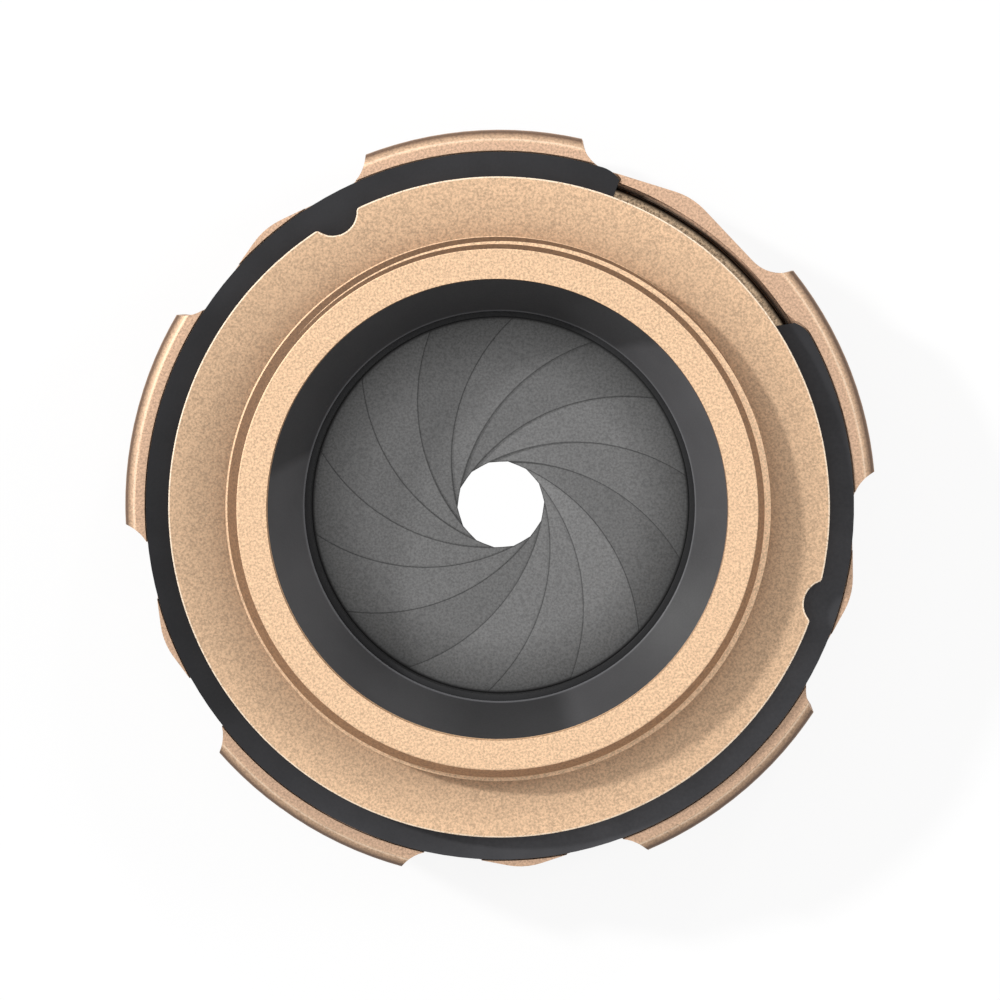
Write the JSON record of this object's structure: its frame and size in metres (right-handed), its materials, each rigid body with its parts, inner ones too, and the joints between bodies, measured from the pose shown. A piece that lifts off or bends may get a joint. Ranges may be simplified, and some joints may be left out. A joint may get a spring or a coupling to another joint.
{
  "type": "iris diaphragm",
  "caption": "Ring-actuated iris diaphragm with a lobed grip ring, threaded front collar and thin curved leaves that close a round stop.",
  "frame": {"origin": "on the optical axis, in the plane of the rear face", "axes": "+Z along the optical axis towards the threaded front collar; +X and +Y across it, with the middle of the first lobe 22 degrees from +X"},
  "size_m": [0.0499, 0.0491, 0.0138],
  "materials": {
    "gold_anodised": "bead-blasted, champagne gold anodised",
    "barrel_metal": "turned, bright where the grip ring runs",
    "baffle_black": "satin black anodised",
    "plate_black": "matte black anodised",
    "ring_black": "turned, black anodised",
    "washer_black": "matte black acetal",
    "leaf_steel": "blackened spring steel, fine matte grain",
    "stud_steel": "turned steel studs",
    "screw_steel": "black oxide steel"
  },
  "bodies": {
    "fixed": {"housing_barrel": "barrel_metal", "front_cap": "gold_anodised", "baffle_cone": "baffle_black", "pivot_plate": "plate_black", "retaining_ring": "ring_black"},
    "ring_set": {"grip_ring": "gold_anodised", "friction_washer": "washer_black", "cam_ring": "plate_black", "drive_screws": "screw_steel"},
    "leaf_01_set": {"leaf_01": "leaf_steel", "leaf_studs_01": "stud_steel"},
    "leaf_02_set": {"leaf_02": "leaf_steel", "leaf_studs_02": "stud_steel"},
    "leaf_03_set": {"leaf_03": "leaf_steel", "leaf_studs_03": "stud_steel"},
    "leaf_04_set": {"leaf_04": "leaf_steel", "leaf_studs_04": "stud_steel"},
    "leaf_05_set": {"leaf_05": "leaf_steel", "leaf_studs_05": "stud_steel"},
    "leaf_06_set": {"leaf_06": "leaf_steel", "leaf_studs_06": "stud_steel"},
    "leaf_07_set": {"leaf_07": "leaf_steel", "leaf_studs_07": "stud_steel"},
    "leaf_08_set": {"leaf_08": "leaf_steel", "leaf_studs_08": "stud_steel"},
    "leaf_09_set": {"leaf_09": "leaf_steel", "leaf_studs_09": "stud_steel"},
    "leaf_10_set": {"leaf_10": "leaf_steel", "leaf_studs_10": "stud_steel"},
    "leaf_11_set": {"leaf_11": "leaf_steel", "leaf_studs_11": "stud_steel"},
    "leaf_12_set": {"leaf_12": "leaf_steel", "leaf_studs_12": "stud_steel"},
    "leaf_13_set": {"leaf_13": "leaf_steel", "leaf_studs_13": "stud_steel"},
    "leaf_14_set": {"leaf_14": "leaf_steel", "leaf_studs_14": "stud_steel"}
  },
  "joints": [
    {"name": "ring_turn", "type": "hinge", "parent": "fixed", "child": "ring_set", "pos_m": [0, 0, 0.00768], "axis": [0, 0, 1], "range_deg": [-14.64, 76.64]},
    {"name": "leaf_01_pivot", "type": "hinge", "parent": "fixed", "child": "leaf_01_set", "pos_m": [0.01436, 0.0061, 0.0048], "axis": [0, 0, 1], "range_deg": [-7.34, 38.34]},
    {"name": "leaf_02_pivot", "type": "hinge", "parent": "fixed", "child": "leaf_02_set", "pos_m": [0.01029, 0.01172, 0.0048], "axis": [0, 0, 1], "range_deg": [-7.34, 38.34]},
    {"name": "leaf_03_pivot", "type": "hinge", "parent": "fixed", "child": "leaf_03_set", "pos_m": [0.00419, 0.01503, 0.0048], "axis": [0, 0, 1], "range_deg": [-7.34, 38.34]},
    {"name": "leaf_04_pivot", "type": "hinge", "parent": "fixed", "child": "leaf_04_set", "pos_m": [-0.00275, 0.01536, 0.0048], "axis": [0, 0, 1], "range_deg": [-7.34, 38.34]},
    {"name": "leaf_05_pivot", "type": "hinge", "parent": "fixed", "child": "leaf_05_set", "pos_m": [-0.00914, 0.01264, 0.0048], "axis": [0, 0, 1], "range_deg": [-7.34, 38.34]},
    {"name": "leaf_06_pivot", "type": "hinge", "parent": "fixed", "child": "leaf_06_set", "pos_m": [-0.01372, 0.00743, 0.0048], "axis": [0, 0, 1], "range_deg": [-7.34, 38.34]},
    {"name": "leaf_07_pivot", "type": "hinge", "parent": "fixed", "child": "leaf_07_set", "pos_m": [-0.01558, 0.00074, 0.0048], "axis": [0, 0, 1], "range_deg": [-7.34, 38.34]},
    {"name": "leaf_08_pivot", "type": "hinge", "parent": "fixed", "child": "leaf_08_set", "pos_m": [-0.01436, -0.0061, 0.0048], "axis": [0, 0, 1], "range_deg": [-7.34, 38.34]},
    {"name": "leaf_09_pivot", "type": "hinge", "parent": "fixed", "child": "leaf_09_set", "pos_m": [-0.01029, -0.01172, 0.0048], "axis": [0, 0, 1], "range_deg": [-7.34, 38.34]},
    {"name": "leaf_10_pivot", "type": "hinge", "parent": "fixed", "child": "leaf_10_set", "pos_m": [-0.00419, -0.01503, 0.0048], "axis": [0, 0, 1], "range_deg": [-7.34, 38.34]},
    {"name": "leaf_11_pivot", "type": "hinge", "parent": "fixed", "child": "leaf_11_set", "pos_m": [0.00275, -0.01536, 0.0048], "axis": [0, 0, 1], "range_deg": [-7.34, 38.34]},
    {"name": "leaf_12_pivot", "type": "hinge", "parent": "fixed", "child": "leaf_12_set", "pos_m": [0.00914, -0.01264, 0.0048], "axis": [0, 0, 1], "range_deg": [-7.34, 38.34]},
    {"name": "leaf_13_pivot", "type": "hinge", "parent": "fixed", "child": "leaf_13_set", "pos_m": [0.01372, -0.00743, 0.0048], "axis": [0, 0, 1], "range_deg": [-7.34, 38.34]},
    {"name": "leaf_14_pivot", "type": "hinge", "parent": "fixed", "child": "leaf_14_set", "pos_m": [0.01558, -0.00074, 0.0048], "axis": [0, 0, 1], "range_deg": [-7.34, 38.34]}
  ],
  "couplings": [
    {"joint": "leaf_01_pivot", "follows": "ring_turn", "ratio": 0.5},
    {"joint": "leaf_02_pivot", "follows": "ring_turn", "ratio": 0.5},
    {"joint": "leaf_03_pivot", "follows": "ring_turn", "ratio": 0.5},
    {"joint": "leaf_04_pivot", "follows": "ring_turn", "ratio": 0.5},
    {"joint": "leaf_05_pivot", "follows": "ring_turn", "ratio": 0.5},
    {"joint": "leaf_06_pivot", "follows": "ring_turn", "ratio": 0.5},
    {"joint": "leaf_07_pivot", "follows": "ring_turn", "ratio": 0.5},
    {"joint": "leaf_08_pivot", "follows": "ring_turn", "ratio": 0.5},
    {"joint": "leaf_09_pivot", "follows": "ring_turn", "ratio": 0.5},
    {"joint": "leaf_10_pivot", "follows": "ring_turn", "ratio": 0.5},
    {"joint": "leaf_11_pivot", "follows": "ring_turn", "ratio": 0.5},
    {"joint": "leaf_12_pivot", "follows": "ring_turn", "ratio": 0.5},
    {"joint": "leaf_13_pivot", "follows": "ring_turn", "ratio": 0.5},
    {"joint": "leaf_14_pivot", "follows": "ring_turn", "ratio": 0.5}
  ]
}
